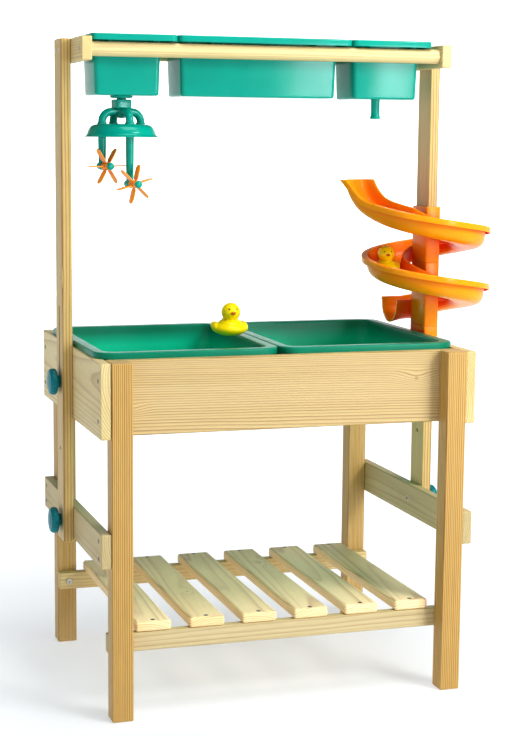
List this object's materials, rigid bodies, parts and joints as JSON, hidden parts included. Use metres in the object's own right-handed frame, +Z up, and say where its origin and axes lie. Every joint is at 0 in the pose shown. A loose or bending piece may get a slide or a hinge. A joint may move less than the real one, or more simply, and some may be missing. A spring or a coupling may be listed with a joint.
{
  "type": "sand and water table",
  "caption": "Wooden play table with two lift-out tubs, a slatted shelf and a bolted rack carrying troughs, a shower with water wheels and a spiral slide.",
  "frame": {"origin": "on the floor, at the centre of the object's bounding box seen from above", "axes": "+Z up, +Y to the rear, +X to the user's right seen from the front; the slide is on the +X side"},
  "size_m": [0.927, 0.56, 1.266],
  "materials": {
    "pine": "planed softwood with a thin clear stain, satin",
    "zinc_steel": "zinc plated",
    "tub_plastic": "moulded, glossy",
    "green_plastic": "moulded, glossy",
    "knob_plastic": "moulded, fine texture",
    "orange_plastic": "moulded, glossy",
    "yellow_plastic": "soft vinyl, glossy",
    "beak_plastic": "soft vinyl, painted"
  },
  "bodies": {
    "stand": {"leg_front_left": "pine", "leg_front_right": "pine", "leg_rear_left": "pine", "leg_rear_right": "pine", "apron_front": "pine", "apron_rear": "pine", "shelf_rail_front": "pine", "shelf_rail_rear": "pine", "dowel_front": "pine", "dowel_rear": "pine", "side_board_left": "pine", "side_board_right": "pine", "side_rail_left": "pine", "side_rail_right": "pine", "post_left": "pine", "post_right": "pine", "rack_arm_left": "pine", "rack_arm_right": "pine", "shelf_slat_1": "pine", "shelf_slat_2": "pine", "shelf_slat_3": "pine", "shelf_slat_4": "pine", "shelf_slat_5": "pine", "shelf_slat_6": "pine", "frame_bolts": "zinc_steel", "side_screws": "zinc_steel", "slat_screws": "zinc_steel", "rack_screws": "zinc_steel", "insert_nuts": "zinc_steel"},
    "slide": {"slide_base": "orange_plastic", "slide_lower": "orange_plastic", "slide_upper": "orange_plastic"},
    "bin_left": {"bin_left": "tub_plastic"},
    "bin_right": {"bin_right": "tub_plastic"},
    "trough_left": {"trough_left": "green_plastic", "drain_neck": "green_plastic", "drain_nut": "green_plastic"},
    "trough_middle": {"trough_middle": "green_plastic"},
    "trough_right": {"trough_right": "green_plastic", "spout": "green_plastic"},
    "shower": {"shower_coupling": "green_plastic", "shower_dome": "green_plastic", "down_pipe_short": "green_plastic", "down_pipe_long": "green_plastic", "wheel_axles": "zinc_steel", "axle_caps": "green_plastic"},
    "water_wheel_short": {"water_wheel_short": "orange_plastic"},
    "water_wheel_long": {"water_wheel_long": "orange_plastic"},
    "duck_on_bin": {"duck_on_bin": "yellow_plastic", "duck_on_bin_beak": "beak_plastic"},
    "duck_on_slide": {"duck_on_slide": "yellow_plastic", "duck_on_slide_beak": "beak_plastic"},
    "knob_lower_left": {"knob_lower_left": "knob_plastic", "knob_bolt_lower_left": "zinc_steel"},
    "knob_lower_right": {"knob_lower_right": "knob_plastic", "knob_bolt_lower_right": "zinc_steel"},
    "knob_upper_left": {"knob_upper_left": "knob_plastic", "knob_bolt_upper_left": "zinc_steel"},
    "knob_upper_right": {"knob_upper_right": "knob_plastic", "knob_bolt_upper_right": "zinc_steel"}
  },
  "joints": [
    {"name": "bin_left_lift", "type": "slide", "parent": "stand", "child": "bin_left", "axis": [0, 0, 1], "range_m": [0, 0.2]},
    {"name": "bin_right_lift", "type": "slide", "parent": "stand", "child": "bin_right", "axis": [0, 0, 1], "range_m": [0, 0.006]},
    {"name": "slide_lift", "type": "slide", "parent": "stand", "child": "slide", "axis": [0, 0, 1], "range_m": [0, 0.1]},
    {"name": "trough_left_lift", "type": "slide", "parent": "stand", "child": "trough_left", "axis": [0, 0, 1], "range_m": [0, 0.115]},
    {"name": "trough_middle_lift", "type": "slide", "parent": "stand", "child": "trough_middle", "axis": [0, 0, 1], "range_m": [0, 0.15]},
    {"name": "trough_right_lift", "type": "slide", "parent": "stand", "child": "trough_right", "axis": [0, 0, 1], "range_m": [0, 0.15]},
    {"name": "shower_swivel", "type": "hinge", "parent": "trough_left", "child": "shower", "pos_m": [-0.3225, -0.033, 1.123], "axis": [0, 0, 1], "continuous": true},
    {"name": "water_wheel_short_spin", "type": "hinge", "parent": "shower", "child": "water_wheel_short", "pos_m": [-0.36189, -0.03995, 1.021], "axis": [0.1736, -0.9848, 0], "continuous": true},
    {"name": "water_wheel_long_spin", "type": "hinge", "parent": "shower", "child": "water_wheel_long", "pos_m": [-0.31555, -0.07239, 0.988], "axis": [0.1736, -0.9848, 0], "continuous": true},
    {"name": "duck_on_bin_lift", "type": "slide", "parent": "bin_left", "child": "duck_on_bin", "axis": [0, 0, 1], "range_m": [0, 0.15]},
    {"name": "duck_on_slide_lift", "type": "slide", "parent": "slide", "child": "duck_on_slide", "axis": [0, 0, 1], "range_m": [0, 0.03]},
    {"name": "knob_lower_left_turn", "type": "hinge", "parent": "stand", "child": "knob_lower_left", "pos_m": [-0.4395, 0, 0.326], "axis": [1, 0, 0], "continuous": true},
    {"name": "knob_lower_right_turn", "type": "hinge", "parent": "stand", "child": "knob_lower_right", "pos_m": [0.3405, 0, 0.326], "axis": [1, 0, 0], "continuous": true},
    {"name": "knob_upper_left_turn", "type": "hinge", "parent": "stand", "child": "knob_upper_left", "pos_m": [-0.4395, 0, 0.602], "axis": [1, 0, 0], "continuous": true},
    {"name": "knob_upper_right_turn", "type": "hinge", "parent": "stand", "child": "knob_upper_right", "pos_m": [0.3405, 0, 0.602], "axis": [1, 0, 0], "continuous": true}
  ]
}
